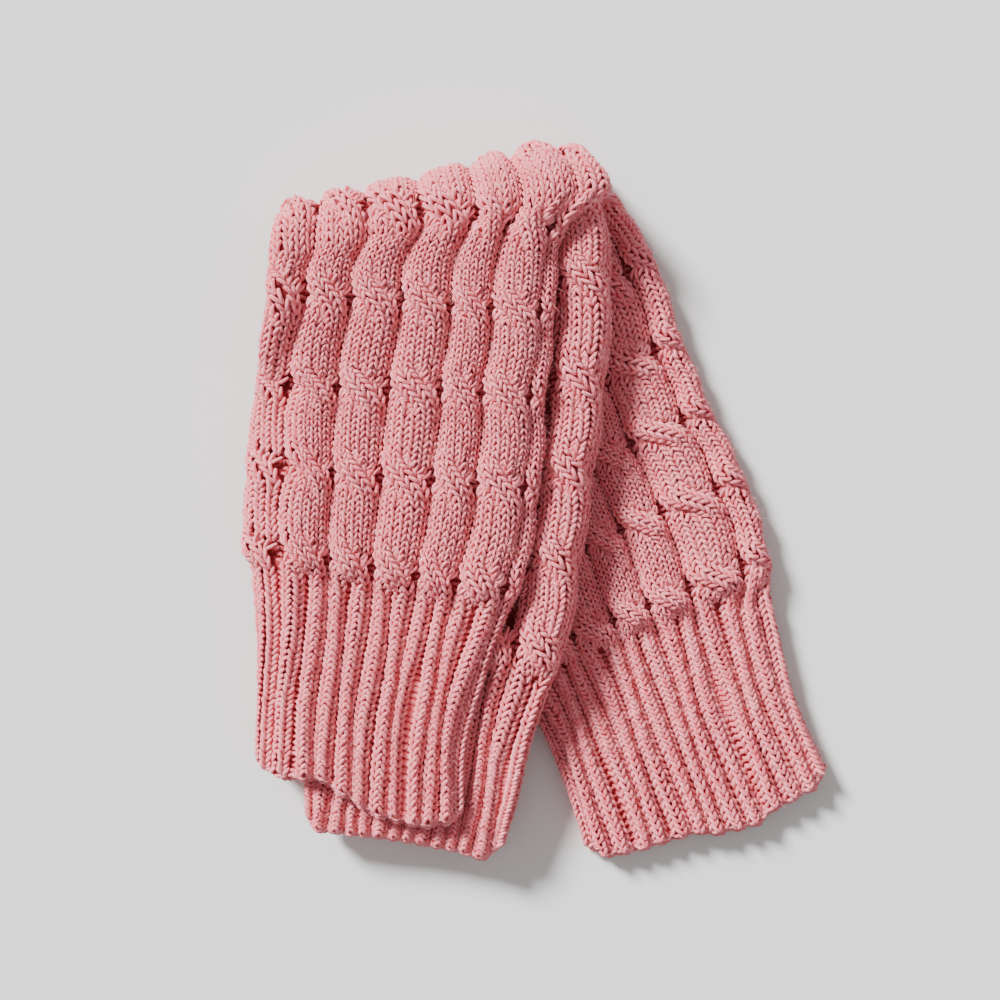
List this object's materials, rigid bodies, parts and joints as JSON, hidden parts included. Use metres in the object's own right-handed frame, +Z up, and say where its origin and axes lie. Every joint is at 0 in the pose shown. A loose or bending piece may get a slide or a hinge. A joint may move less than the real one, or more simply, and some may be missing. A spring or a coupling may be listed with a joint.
{
  "type": "pair of cable knit stockings",
  "caption": "Footless cable knit tubes with long ribbed cuffs, laid together and folded in half, one lower half splayed out to the side, lying flat.",
  "frame": {"origin": "centre of the footprint, on the surface that the pair lies on", "axes": "+Z up off the surface, +Y towards the folded end, +X to the right as the picture sees it"},
  "size_m": [0.1892, 0.2288, 0.0317],
  "materials": {
    "yarn_outer_stocking": "soft matt pink knitting yarn with a little fuzz",
    "yarn_inner_stocking": "soft matt pink knitting yarn with a little fuzz"
  },
  "bodies": {
    "root": {"stocking_1": "yarn_outer_stocking", "stocking_2": "yarn_inner_stocking"}
  },
  "joints": []
}
